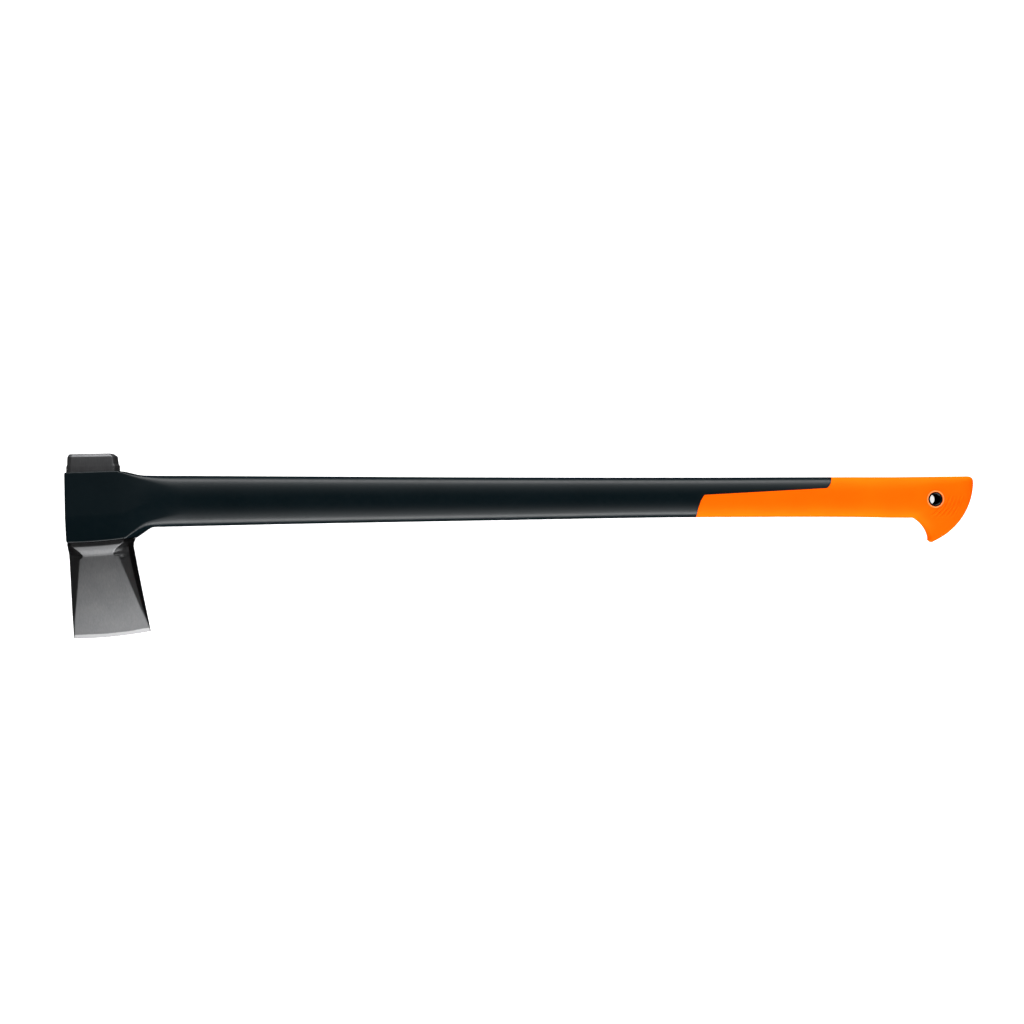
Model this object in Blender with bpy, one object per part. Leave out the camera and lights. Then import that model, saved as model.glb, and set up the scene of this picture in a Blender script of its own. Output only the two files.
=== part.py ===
"""Splitting maul: a forged head held in the moulded collar of a hollow composite handle.

The maul lies on its side. The handle runs along +X from the head to the butt, the poll
faces +Y and the cutting edge -Y, and Z is the thickness. The origin is under the middle
of the outline, on the plane that the lower cheek of the collar rests on.

Outlines are drawn as (along, up): the distance from the outer end of the head, and the
height over the lowest point of the cutting edge. Thicknesses are half thicknesses, out
from the middle plane. place() turns these into positions.
"""

import math

import bmesh
import bpy
from mathutils import Vector

# Overall sizes
LENGTH = 0.915
HEIGHT = 0.1875
COLLAR_HALF = 0.028
GAP = 0.0003

# Head: every level of the wedge runs parallel to the arc of the cutting edge.
EDGE_RADIUS = 0.460
COLLAR_SLOPE = 0.034
POLL_SLOPE = math.tan(math.radians(1.0))
POLL_HEEL = 0.0442
POLL_TOP = HEIGHT - POLL_HEEL * POLL_SLOPE
POLL_CHAMFER = 0.003
POLL_FOOT = 0.0060
POLL_STEP = 0.0015
FACE_SPANS = 6
POCKET_OVERRUN = 0.004

# Collar
COLLAR_FOOT = 0.0975
COLLAR_TOP = 0.1679
COLLAR_FOOT_START = 0.0043
COLLAR_TOP_START = 0.0006
COLLAR_TOP_HALF = 0.022
COLLAR_LAND = 0.024
COLLAR_CORNER = 0.0015
COLLAR_CHAMFER = 0.0015
COLLAR_END = 0.064
NECK_CORNER = 0.053
NECK_START = 0.056
NECK_END = 0.124

# Handle
FAN_START = 0.836
OVAL_POWER = 2.35
HOOK_POWER = 3.0
RIM_POWER = 5.0
OVAL_ANGLES = 14
FAN_STEPS = (5, 3, 9)

# Hook and butt: arcs about three centres
HOOK_CENTRE = (0.8424, 0.0965)
HOOK_RADIUS = 0.0291
HOOK_START = math.radians(63.5)
HOOK_END = math.radians(7.0)
BUTT_CENTRE = (0.8491, 0.1595)
BUTT_RADIUS = 0.0659
BUTT_END = math.radians(-67.4)
CORNER_RADIUS = 0.005
TIP = ((0.8726, 0.0983), (0.8735, 0.0979))
TIP_HALF = 0.009
TIP_ROUNDING = 0.85
# Shares of the hook's outline over which it thins, and over which its section squares up
HOOK_THINS = (0.45, 1.1)
HOOK_SQUARES = (0.0, 0.6)

# Grip, hang hole and core. The grip's edge is drawn as a start, a corner and an end.
GRIP_FRONT = ((0.6356, 0.1220), (0.6370, 0.1390), (0.6432, 0.1456))
GRIP_STEP = ((0.7662, 0.1524), (0.7712, 0.1560), (0.7724, 0.1650))
SKIN = 0.0020
CORE_START = 0.600
CORE_FAN_STEPS = (5, 3, 7)
CORE_FAN_GAP = 0.05
HANG_HOLE = (0.8752, 0.1413)
HANG_BORE = 0.0054
EYE_BOSS = 0.0071
EYE_BOSS_HALF = 0.0141
CIRCLE_SIDES = 32

# Hollow and its plug
HOLLOW_START = 0.076
HOLLOW_END = 0.858
HOLLOW_WALL = 0.0046
GRIP_HOLLOW_WALL = 0.0064
WALL_THICKENS = (0.590, 0.640)
PASSAGE_UP = 0.1545
PASSAGE_RADIUS = 0.0037
PASSAGE_OVERLAP = 0.004
PLUG_HEAD_RADIUS = 0.0046
PLUG_HEAD_START = 0.9088
PLUG_END = 0.9114
PLUG_START = 0.8970
PLUG_LEAD = 0.0010

# Height of the back and of the belly at distances along the handle
BACK = (
    (0.0530, 0.1697),
    (0.0618, 0.1677),
    (0.0700, 0.1662),
    (0.0800, 0.1653),
    (0.1300, 0.1651),
    (0.2350, 0.1645),
    (0.4400, 0.1635),
    (0.6400, 0.1633),
    (0.7850, 0.1637),
    (0.8400, 0.1637),
    (0.8700, 0.1640),
    (0.9100, 0.1645),
)
BELLY = (
    (0.0640, 0.10195),
    (0.0700, 0.1058),
    (0.0760, 0.1095),
    (0.0820, 0.1123),
    (0.0880, 0.1132),
    (0.0970, 0.1133),
    (0.2350, 0.1163),
    (0.4400, 0.1200),
    (0.5900, 0.1226),
    (0.6800, 0.1232),
    (0.7850, 0.1233),
    (0.8476, 0.1223),
)
# Half thickness of the oval handle at distances along it
OVAL_HALF = (
    (0.0500, 0.0180),
    (0.1240, 0.0168),
    (0.2350, 0.0160),
    (0.4400, 0.0152),
    (0.6000, 0.0148),
    (0.8500, 0.0147),
)
# Where the handle's sections are taken
NECK_SHARE = (NECK_CORNER - COLLAR_TOP_START) / (COLLAR_END - COLLAR_TOP_START)
COLLAR_FRACTIONS = (0.18, 0.36, 0.54, 0.70, NECK_SHARE, 0.90, 1.0)
HANDLE_STATIONS = (
    0.070, 0.076, 0.082, 0.088, 0.097, 0.106, 0.115, 0.124,
    0.160, 0.235, 0.310, 0.375, 0.440, 0.515, 0.590, 0.640,
    0.680, 0.732, 0.785, 0.810,
)


def place(along, up, out=0.0):
    return Vector((along - LENGTH / 2, up - HEIGHT / 2, COLLAR_HALF + out))


def blend(a, b, share):
    return a + (b - a) * share


def smooth_step(start, end, value):
    share = min(1.0, max(0.0, (value - start) / (end - start)))
    return share * share * (3 - 2 * share)


def read_curve(points, at):
    """The height of a smooth curve through the points, at one distance."""
    at = min(points[-1][0], max(points[0][0], at))
    i = 0
    while i < len(points) - 2 and at > points[i + 1][0]:
        i += 1

    def slope(k):
        low = points[max(k - 1, 0)]
        high = points[min(k + 1, len(points) - 1)]
        return (high[1] - low[1]) / (high[0] - low[0])

    (x0, y0), (x1, y1) = points[i], points[i + 1]
    span = x1 - x0
    t = (at - x0) / span
    from_start = (1 + 2 * t) * (1 - t) ** 2 * y0 + t * t * (3 - 2 * t) * y1
    from_slopes = t * (1 - t) ** 2 * slope(i) + t * t * (t - 1) * slope(i + 1)
    return from_start + from_slopes * span


def on_circle(centre, radius, angle):
    return (centre[0] + radius * math.cos(angle), centre[1] + radius * math.sin(angle))


def bend(start, corner, end, steps):
    """Points along a curve that leaves start towards corner and arrives at end."""
    points = []
    for i in range(steps + 1):
        t = i / steps
        points.append(
            tuple(
                blend(blend(a, b, t), blend(b, c, t), t)
                for a, b, c in zip(start, corner, end)
            )
        )
    return points


# Meshes


def add_loft(bm, rings):
    """One closed body through rings of points, capped at both ends."""
    rows = [[bm.verts.new(point) for point in ring] for ring in rings]
    count = len(rows[0])
    for low, high in zip(rows, rows[1:]):
        for i in range(count):
            j = (i + 1) % count
            bm.faces.new((low[i], low[j], high[j], high[i]))
    bm.faces.new(list(reversed(rows[0])))
    bm.faces.new(rows[-1])
    bmesh.ops.recalc_face_normals(bm, faces=bm.faces)


def new_object(name, bm, material=None):
    mesh = bpy.data.meshes.new(name)
    bm.to_mesh(mesh)
    bm.free()
    part = bpy.data.objects.new(name, mesh)
    bpy.context.collection.objects.link(part)
    if material:
        mesh.materials.append(material)
    return part


def loft_object(name, rings, material=None):
    bm = bmesh.new()
    add_loft(bm, rings)
    return new_object(name, bm, material)


def prism_object(name, outline, half):
    """An outline extruded to both sides of the middle plane."""
    rings = [[place(x, y, out) for x, y in outline] for out in (-half, half)]
    return loft_object(name, rings)


def round_bar(name, centre, radius, half):
    """A bar across the thickness, round in the outline."""
    angles = [2 * math.pi * i / CIRCLE_SIDES for i in range(CIRCLE_SIDES)]
    return prism_object(name, [on_circle(centre, radius, a) for a in angles], half)


def turned_object(name, profile, material=None):
    """A body turned about the line of the core passage, from (along, radius) pairs."""
    rings = []
    for along, radius in profile:
        ring = []
        for i in range(CIRCLE_SIDES // 2):
            angle = 4 * math.pi * i / CIRCLE_SIDES
            up = PASSAGE_UP + radius * math.cos(angle)
            ring.append(place(along, up, radius * math.sin(angle)))
        rings.append(ring)
    return loft_object(name, rings, material)


def as_cutter(part):
    part.hide_render = True
    part.display_type = "WIRE"
    return part


def combine(part, operation, tool):
    modifier = part.modifiers.new(f"{operation} {tool.name}", "BOOLEAN")
    modifier.operation = operation
    modifier.solver = "EXACT"
    modifier.object = as_cutter(tool)


def new_material(name, colour, roughness, metallic=0.0):
    material = bpy.data.materials.new(name)
    material.use_nodes = True
    shader = material.node_tree.nodes["Principled BSDF"]
    shader.inputs["Base Color"].default_value = (*colour, 1.0)
    shader.inputs["Roughness"].default_value = roughness
    shader.inputs["Metallic"].default_value = metallic
    return material


# Head


class Level:
    """One level of the head: its ends, where its cheek begins and ends, its thickness.

    The cheek is the flat middle of the section. Beyond it a bevel falls to the end wall.
    """

    def __init__(self, up, front, heel, cheek, half, end_half):
        self.up = up
        self.front = front
        self.heel = heel
        self.cheek = cheek
        self.half = half
        self.end_half = end_half


# From the cutting edge up to the shoulder under the collar
BLADE = (
    Level(0.0000, 0.0055, 0.0837, (0.0062, 0.0829), 0.00015, 0.00015),
    Level(0.0037, 0.0055, 0.0827, (0.0064, 0.0818), 0.0012, 0.0010),
    Level(0.0150, 0.0055, 0.0799, (0.0072, 0.0785), 0.0050, 0.0042),
    Level(0.0260, 0.0054, 0.0771, (0.0086, 0.0749), 0.0086, 0.0068),
    Level(0.0390, 0.0052, 0.0740, (0.0106, 0.0706), 0.0125, 0.0089),
    Level(0.0530, 0.0050, 0.0709, (0.0127, 0.0659), 0.0163, 0.0107),
    Level(0.0670, 0.0046, 0.0679, (0.0146, 0.0610), 0.0198, 0.0120),
    Level(0.0800, 0.0041, 0.0653, (0.0164, 0.0565), 0.0227, 0.0127),
    Level(0.0830, 0.0039, 0.0647, (0.0203, 0.0510), 0.0233, 0.0127),
    Level(0.0852, 0.0037, 0.0642, (0.0198, 0.0504), 0.0241, 0.0127),
    Level(0.0890, 0.0030, 0.0636, (0.0160, 0.0538), 0.0259, 0.0126),
    Level(0.0930, 0.0021, 0.0638, (0.0112, 0.0598), 0.0275, 0.0124),
    Level(0.0946, 0.0017, 0.0648, (0.0090, 0.0616), 0.0275, 0.0122),
    Level(COLLAR_FOOT - GAP, 0.0016, 0.0652, (0.0086, 0.0622), 0.0275, 0.0122),
)
# The waist inside the collar, with a groove that locks the moulding
WAIST = (
    Level(COLLAR_FOOT - GAP, 0.0082, 0.0500, (0.0130, 0.0452), 0.0185, 0.0135),
    Level(0.1140, 0.0078, 0.0490, (0.0126, 0.0442), 0.0175, 0.0128),
    Level(0.1160, 0.0078, 0.0488, (0.0126, 0.0440), 0.0152, 0.0116),
    Level(0.1260, 0.0075, 0.0480, (0.0123, 0.0432), 0.0144, 0.0111),
    Level(0.1280, 0.0074, 0.0478, (0.0122, 0.0430), 0.0160, 0.0118),
    Level(0.1410, 0.0070, 0.0462, (0.0117, 0.0415), 0.0143, 0.0108),
    Level(0.1540, 0.0065, 0.0446, (0.0111, 0.0400), 0.0125, 0.0098),
    Level(0.1610, 0.0063, 0.0438, (0.0108, 0.0392), 0.0116, 0.0093),
    Level(COLLAR_TOP + GAP, 0.0060, 0.0430, (0.0105, 0.0385), 0.0106, 0.0088),
)
POLL_SHOULDER = COLLAR_TOP + POLL_FOOT
POLL = (
    Level(COLLAR_TOP + GAP, 0.0000, 0.0502, (0.0046, 0.0488), 0.0129, 0.0107),
    Level(POLL_SHOULDER, 0.0000, 0.0501, (0.0046, 0.0487), 0.0124, 0.0103),
    Level(POLL_SHOULDER + POLL_STEP, 0.0007, 0.0490, (0.0050, 0.0477), 0.0122, 0.0101),
    Level(POLL_TOP - POLL_CHAMFER, 0.0009, 0.0481, (0.0051, 0.0467), 0.0114, 0.0094),
    Level(POLL_TOP, 0.0040, POLL_HEEL, (0.0068, 0.0428), 0.0086, 0.0076),
)


def blade_rise(along):
    return along * along / (2 * EDGE_RADIUS)


def collar_rise(along):
    return along * COLLAR_SLOPE


def poll_rise(along):
    return along * POLL_SLOPE


def level_ring(level, rise, grow=0.0):
    """The loop of points round the head at one level."""
    first, last = level.cheek
    steps = [blend(first, last, i / FACE_SPANS) for i in range(FACE_SPANS + 1)]
    near = [(level.front - grow, level.end_half + grow)]
    near += [(along, level.half + grow) for along in steps]
    near += [(level.heel + grow, level.end_half + grow)]
    far = [(along, -out) for along, out in reversed(near)]
    return [place(along, level.up + rise(along), out) for along, out in near + far]


def waist_rise(level):
    """Between the arc of the cutting edge and the slope of the collar's top."""
    share = smooth_step(COLLAR_FOOT, COLLAR_TOP, level.up)
    return lambda along: blend(blade_rise(along), collar_rise(along), share)


def poll_level_rise(level):
    share = smooth_step(COLLAR_TOP + GAP, POLL_TOP - POLL_CHAMFER, level.up)
    return lambda along: blend(collar_rise(along), poll_rise(along), share)


def make_head(steel):
    rings = [level_ring(level, blade_rise) for level in BLADE]
    rings += [level_ring(level, waist_rise(level)) for level in WAIST]
    rings += [level_ring(level, poll_level_rise(level)) for level in POLL]
    return loft_object("maul_head", rings, steel)


def make_head_pocket():
    """The waist with its gap, carried on past both openings of the collar."""
    overrun = Vector((0, POCKET_OVERRUN, 0))
    rings = []
    for i, level in enumerate(WAIST):
        ring = level_ring(level, waist_rise(level), GAP)
        if i == 0:
            rings.append([point - overrun for point in ring])
        rings.append(ring)
        if i == len(WAIST) - 1:
            rings.append([point + overrun for point in ring])
    return loft_object("head_pocket", rings)


# Handle


class Station:
    """A section of the handle between a point on its belly and one on its back."""

    def __init__(self, belly, back, half, back_half=None, boxy=0.0, powers=None):
        self.belly = belly
        self.back = back
        self.half = half
        self.back_half = half if back_half is None else back_half
        self.boxy = boxy
        self.powers = powers or (OVAL_POWER, OVAL_POWER)


def signed_power(value, power):
    return math.copysign(abs(value) ** power, value)


def oval_points(depth, half, powers):
    """Half of an oval from belly to back, as (height from the middle, out) pairs.

    The two powers say how square the oval is towards its belly and towards its back.
    """
    points = []
    for i in range(OVAL_ANGLES + 1):
        angle = math.pi * i / OVAL_ANGLES
        power = powers[0] if 2 * i < OVAL_ANGLES else powers[1]
        up = -signed_power(math.cos(angle), 2 / power) * depth
        points.append((up, abs(math.sin(angle)) ** (2 / power) * half))
    return points


def box_points(depth, half, back_half):
    """The same number of points round half of the collar's section."""
    corner = COLLAR_CORNER
    land = COLLAR_LAND - depth
    flats = [(-depth, 0.0), (-depth, (half - corner) / 2), (-depth, half - corner)]
    foot = []
    for degrees in (30, 60, 90):
        angle = math.radians(degrees)
        up = -depth + corner * (1 - math.cos(angle))
        foot.append((up, half - corner * (1 - math.sin(angle))))
    cheek = [(land, half)]
    for share in (1 / 3, 2 / 3):
        cheek.append((blend(land, depth - corner, share), blend(half, back_half, share)))
    top = []
    for degrees in (0, 30, 60, 90):
        angle = math.radians(degrees)
        out = back_half - corner * (1 - math.cos(angle))
        top.append((depth - corner * (1 - math.sin(angle)), out))
    return flats + foot + cheek + top + [(depth, (back_half - corner) / 2), (depth, 0.0)]


def section_ring(station):
    """The loop of points of one section of the handle."""
    belly = Vector(station.belly)
    back = Vector(station.back)
    middle = (belly + back) / 2
    depth = (back - belly).length / 2
    axis = (back - belly).normalized()
    near = oval_points(depth, station.half, station.powers)
    if station.boxy:
        box = box_points(depth, station.half, station.back_half)
        near = [
            (blend(a[0], b[0], station.boxy), blend(a[1], b[1], station.boxy))
            for a, b in zip(near, box)
        ]
    far = [(up, -out) for up, out in reversed(near[1:-1])]
    ring = []
    for up, out in near + far:
        along, height = middle + axis * up
        ring.append(place(along, height, out))
    return ring


def back_at(along):
    if along <= NECK_CORNER:
        return COLLAR_TOP + collar_rise(along)
    return read_curve(BACK, along)


def belly_at(along):
    if along <= COLLAR_END:
        return COLLAR_FOOT + blade_rise(along)
    return read_curve(BELLY, along)


def neck_station(foot_along, top_along, inset=0.0):
    """A section of the collar, the neck or the straight handle."""
    boxy = 1 - smooth_step(NECK_START, NECK_END, top_along)
    oval = read_curve(OVAL_HALF, top_along)
    return Station(
        (foot_along, belly_at(foot_along) + inset),
        (top_along, back_at(top_along) - inset),
        blend(oval, COLLAR_HALF, boxy) - inset,
        blend(oval, COLLAR_TOP_HALF, boxy) - inset,
        boxy,
    )


def collar_stations():
    """Sections from the leaning outer end of the collar to the start of the neck."""
    foot, top = COLLAR_FOOT_START, COLLAR_TOP_START
    stations = [
        neck_station(foot, top, COLLAR_CHAMFER),
        neck_station(foot + COLLAR_CHAMFER, top + COLLAR_CHAMFER),
    ]
    for share in COLLAR_FRACTIONS:
        foot_along = blend(foot, COLLAR_END, share)
        stations.append(neck_station(foot_along, blend(top, COLLAR_END, share)))
    return stations


def walk(pieces, distance):
    """The point at a distance along a path of (length, function of the share) pieces."""
    for length, point_at in pieces[:-1]:
        if distance < length:
            return point_at(distance / length)
        distance -= length
    length, point_at = pieces[-1]
    return point_at(min(1.0, distance / length))


def straight(start, end):
    length = math.dist(start, end)
    return (length, lambda share: tuple(blend(a, b, share) for a, b in zip(start, end)))


def arc(centre, radius, start, end):
    length = radius * abs(end - start)
    return (length, lambda share: on_circle(centre, radius, blend(start, end, share)))


def hook_paths(inset):
    """The inner and the outer outline from the end of the straight handle to the tip."""
    quarter = math.pi / 2
    hook = HOOK_RADIUS + inset
    hook_start = on_circle(HOOK_CENTRE, hook, HOOK_START)
    inner_start = (FAN_START, belly_at(FAN_START) + inset)
    inner = [
        straight(inner_start, hook_start),
        arc(HOOK_CENTRE, hook, HOOK_START, HOOK_END),
    ]
    corner_centre = (BUTT_CENTRE[0] + BUTT_RADIUS - CORNER_RADIUS, BUTT_CENTRE[1])
    corner = CORNER_RADIUS - inset
    outer_start = (FAN_START, back_at(FAN_START) - inset)
    outer = [
        straight(outer_start, on_circle(corner_centre, corner, quarter)),
        arc(corner_centre, corner, quarter, 0.0),
        arc(BUTT_CENTRE, BUTT_RADIUS - inset, 0.0, BUTT_END),
    ]
    return inner, outer


def hook_stations(inset=0.0, steps=FAN_STEPS, last_extra=0.0):
    """Sections fanned round the hook, in the same proportion along both outlines.

    Each part of the outer outline is cut into its own number of steps, and the last
    section may sit a fraction of a step further on.
    """
    inner, outer = hook_paths(inset)
    inner_length = sum(length for length, _ in inner)
    outer_length = sum(length for length, _ in outer)
    straight_half = read_curve(OVAL_HALF, FAN_START)
    distances = [0.0]
    for (length, _), count, full_count in zip(outer, steps, FAN_STEPS):
        start = distances[-1]
        distances += [start + length * (i + 1) / full_count for i in range(count)]
    distances[-1] += last_extra * (distances[-1] - distances[-2])
    stations = []
    for distance in distances:
        share = distance / outer_length
        half = blend(straight_half, TIP_HALF, smooth_step(*HOOK_THINS, share))
        squared = smooth_step(*HOOK_SQUARES, share)
        powers = [blend(OVAL_POWER, power, squared) for power in (HOOK_POWER, RIM_POWER)]
        belly = walk(inner, share * inner_length)
        back = walk(outer, distance)
        stations.append(Station(belly, back, half - inset, powers=powers))
    return stations


def whole_handle(name, material=None):
    """The handle's outer shape, with the grip's skin on it and nothing hollowed out."""
    stations = collar_stations()
    stations += [neck_station(along, along) for along in HANDLE_STATIONS]
    stations += hook_stations()
    tip_powers = (HOOK_POWER, RIM_POWER)
    stations.append(Station(*TIP, TIP_HALF * TIP_ROUNDING, powers=tip_powers))
    return loft_object(name, [section_ring(station) for station in stations], material)


def core_body(name, inset, last_extra=0.0):
    """The handle's core under the grip's skin."""
    stations = [
        neck_station(along, along, inset)
        for along in HANDLE_STATIONS
        if along > CORE_START
    ]
    stations.insert(0, neck_station(CORE_START, CORE_START, inset))
    stations += hook_stations(inset, CORE_FAN_STEPS, last_extra)
    return loft_object(name, [section_ring(station) for station in stations])


def hollow_body():
    stations = []
    for along in (HOLLOW_START, *HANDLE_STATIONS, HOLLOW_END):
        if HOLLOW_START <= along <= HOLLOW_END:
            thicker = smooth_step(*WALL_THICKENS, along)
            wall = blend(HOLLOW_WALL, GRIP_HOLLOW_WALL, thicker)
            stations.append(neck_station(along, along, wall))
    return loft_object("handle_hollow", [section_ring(station) for station in stations])


def grip_zone(name, shift=0.0):
    """The outline that the grip covers: its slanted front, and the step at the back."""
    beyond = 0.02
    front = bend(*GRIP_FRONT, 6)
    step = bend(*GRIP_STEP, 5)
    outline = [(front[0][0], -beyond)] + front + step
    outline += [
        (step[-1][0], HEIGHT + beyond),
        (LENGTH + beyond, HEIGHT + beyond),
        (LENGTH + beyond, -beyond),
    ]
    moved = [(along - shift, up + shift) for along, up in outline]
    return prism_object(name, moved, 2 * COLLAR_HALF)


def make_shaft(nylon):
    shaft = whole_handle("handle_shaft", nylon)
    combine(shaft, "DIFFERENCE", grip_zone("shaft_grip_zone", GAP))
    combine(shaft, "UNION", core_body("handle_core", SKIN + GAP))
    combine(shaft, "UNION", round_bar("eye_boss", HANG_HOLE, EYE_BOSS, EYE_BOSS_HALF))
    combine(shaft, "DIFFERENCE", hollow_body())
    passage = [
        (HOLLOW_END - PASSAGE_OVERLAP, PASSAGE_RADIUS),
        (PLUG_HEAD_START - GAP, PASSAGE_RADIUS),
        (PLUG_HEAD_START - GAP, PLUG_HEAD_RADIUS + GAP),
        (LENGTH, PLUG_HEAD_RADIUS + GAP),
    ]
    combine(shaft, "DIFFERENCE", turned_object("core_passage", passage))
    combine(shaft, "DIFFERENCE", make_head_pocket())
    bore = round_bar("hang_bore", HANG_HOLE, HANG_BORE, 2 * COLLAR_HALF)
    combine(shaft, "DIFFERENCE", bore)
    return shaft


def make_plug(plastic):
    shank = PASSAGE_RADIUS - GAP
    profile = [
        (PLUG_START, shank - PLUG_LEAD),
        (PLUG_START + PLUG_LEAD, shank),
        (PLUG_HEAD_START, shank),
        (PLUG_HEAD_START, PLUG_HEAD_RADIUS),
        (PLUG_END, PLUG_HEAD_RADIUS),
    ]
    return turned_object("core_plug", profile, plastic)


def make_grip(rubber):
    grip = whole_handle("soft_grip", rubber)
    combine(grip, "INTERSECT", grip_zone("soft_grip_zone"))
    combine(grip, "DIFFERENCE", core_body("grip_inside", SKIN, CORE_FAN_GAP))
    eye = round_bar("grip_eye", HANG_HOLE, EYE_BOSS + GAP, 2 * COLLAR_HALF)
    combine(grip, "DIFFERENCE", eye)
    return grip


def main():
    for old in list(bpy.data.objects):
        bpy.data.objects.remove(old, do_unlink=True)
    steel = new_material("forged_steel", (0.16, 0.16, 0.165), 0.42, 1.0)
    nylon = new_material("black_nylon", (0.010, 0.013, 0.015), 0.45)
    plug_nylon = new_material("plug_nylon", (0.020, 0.020, 0.022), 0.55)
    rubber = new_material("orange_grip", (0.98, 0.19, 0.008), 0.50)
    sharp = math.radians(30)
    parts = (
        make_head(steel),
        make_shaft(nylon),
        make_plug(plug_nylon),
        make_grip(rubber),
    )
    for part in parts:
        part.data.shade_smooth()
        part.data.set_sharp_from_angle(angle=sharp)


main()
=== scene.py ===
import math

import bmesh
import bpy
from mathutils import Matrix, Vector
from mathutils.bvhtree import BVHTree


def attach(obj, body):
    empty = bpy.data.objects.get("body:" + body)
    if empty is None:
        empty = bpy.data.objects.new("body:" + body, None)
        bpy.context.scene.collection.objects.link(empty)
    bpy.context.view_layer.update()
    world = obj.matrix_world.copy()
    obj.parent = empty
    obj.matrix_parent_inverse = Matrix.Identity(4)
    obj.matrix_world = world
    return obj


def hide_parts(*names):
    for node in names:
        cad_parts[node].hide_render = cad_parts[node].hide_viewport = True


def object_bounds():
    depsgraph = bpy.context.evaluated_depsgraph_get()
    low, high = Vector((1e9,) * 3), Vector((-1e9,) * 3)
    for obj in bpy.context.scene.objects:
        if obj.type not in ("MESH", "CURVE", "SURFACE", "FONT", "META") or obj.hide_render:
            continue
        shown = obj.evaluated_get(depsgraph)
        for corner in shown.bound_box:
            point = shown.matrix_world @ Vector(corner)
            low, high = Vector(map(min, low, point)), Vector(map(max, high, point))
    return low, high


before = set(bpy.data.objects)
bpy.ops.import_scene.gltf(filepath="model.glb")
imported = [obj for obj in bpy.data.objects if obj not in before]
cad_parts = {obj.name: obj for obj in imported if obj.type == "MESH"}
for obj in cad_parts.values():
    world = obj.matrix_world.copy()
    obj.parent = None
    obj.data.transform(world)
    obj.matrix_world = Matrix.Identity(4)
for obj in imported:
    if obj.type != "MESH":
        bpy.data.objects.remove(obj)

# Looks of the splitting maul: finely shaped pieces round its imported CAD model.
#
# The maul lies on its side as in the CAD model: +X runs along the handle from the head to
# the butt, +Y out of the poll, and +Z up through the thickness. Outlines are drawn as
# (along, up): the distance from the outer end of the head, and the height over the lowest
# point of the cutting edge. place() turns them into positions in the model's box.

CAD_LOW, CAD_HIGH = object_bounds()

# Sizes that the outlines are drawn against
HEIGHT = 0.1875
COLLAR_HALF = (CAD_HIGH.z - CAD_LOW.z) / 2
MIDDLE = (CAD_HIGH.z + CAD_LOW.z) / 2
GAP = 0.0003

# Head: every level of the wedge runs parallel to the arc of the cutting edge
EDGE_RADIUS = 0.460
COLLAR_SLOPE = 0.034
POLL_SLOPE = math.tan(math.radians(1.0))
POLL_HEEL = 0.0442
POLL_TOP = HEIGHT - POLL_HEEL * POLL_SLOPE
POLL_CHAMFER = 0.003
POLL_FOOT = 0.0060
POLL_STEP = 0.0015
HEAD_CORNER = 0.0010
FLARE_CORNER = 0.0004
HEAD_SOFTEN = 0.0004
HEAD_SHARP_DEGREES = 40
# The share of an edge that rounding may take up, and the steps between and round corners
MOST_ROUNDED = 0.4
HEAD_SPANS = (3, 3, 18, 4, 3)
HEAD_CORNER_STEPS = 4
EDGE_STEPS = 3
FACE_STEPS = 28

# Collar
COLLAR_FOOT = 0.0975
COLLAR_TOP = 0.1679
COLLAR_FOOT_START = 0.0043
COLLAR_TOP_START = 0.0006
COLLAR_TOP_HALF = 0.022
COLLAR_LAND = 0.024
COLLAR_CORNER = 0.0015
COLLAR_ROUND = 0.0015
COLLAR_END = 0.064
NECK_CORNER = 0.053
NECK_START = 0.056
NECK_END = 0.124
POCKET_OVERRUN = 0.004
COLLAR_FIRST_SHARE = 0.06
COLLAR_STEPS = 16
COLLAR_LAST_STEPS = 6

# Handle
FAN_START = 0.836
OVAL_POWER = 2.35
HOOK_POWER = 3.0
RIM_POWER = 5.0
OVAL_ANGLES = 14
FAN_STEPS = (5, 3, 9)
NECK_STEP = 0.002
SHAFT_STEP = 0.006
HANDLE_SHARP_DEGREES = 32
# How many times finer the outer surface is than the hidden core
FINE = 4

# Hook and butt: arcs about three centres
HOOK_CENTRE = (0.8424, 0.0965)
HOOK_RADIUS = 0.0291
HOOK_START = math.radians(63.5)
HOOK_END = math.radians(7.0)
BUTT_CENTRE = (0.8491, 0.1595)
BUTT_RADIUS = 0.0659
BUTT_END = math.radians(-67.4)
CORNER_RADIUS = 0.005
TIP = ((0.8736, 0.0985), (0.8742, 0.0979))
TIP_HALF = 0.009
TIP_ROUNDING = 0.85
# Shares of the way round the hook between which it thins, and grows squarer
HOOK_THINS = (0.45, 1.1)
HOOK_SQUARES = (0.0, 0.6)

# Grip, hang hole and core
GRIP_FRONT = ((0.6356, 0.1220), (0.6370, 0.1390), (0.6432, 0.1456))
GRIP_STEP = ((0.7662, 0.1524), (0.7712, 0.1560), (0.7724, 0.1650))
SKIN = 0.0020
CORE_START = 0.600
CORE_FAN_STEPS = (5, 3, 7)
CORE_FAN_GAP = 0.05
HANG_HOLE = (0.8752, 0.1413)
HANG_BORE = 0.0054
BORE_FLARE = 0.0007
EYE_BOSS = 0.0071
EYE_BOSS_HALF = 0.0141
EYE_BOSS_ROUND = 0.0006
CIRCLE_SIDES = 96
GRIP_FRONT_STEPS = 18
GRIP_STEP_STEPS = 15
ZONE_BEYOND = 0.02
ZONE_END = 0.95

# Relief on the grip: the bead round the hang hole and the ribs beside it
BEAD_RADIUS = 0.0080
BEAD_HALF_WIDTH = 0.0008
BEAD_HEIGHT = 0.00060
BEAD_STEPS = 64
RIB_RADII = (0.0418, 0.0453, 0.0488, 0.0523, 0.0558)
RIB_UP = (0.1450, 0.1235)
RIB_HALF_WIDTH = 0.0011
RIB_HEIGHT = 0.00065
RIB_STEPS = 22
RIB_TAPER = 0.3
RIDGE_STEPS = 8
# How far under the skin's surface a ridge's root and its visible foot lie
RELIEF_ROOT = 0.0006
RELIEF_FOOT = 0.00002

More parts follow.
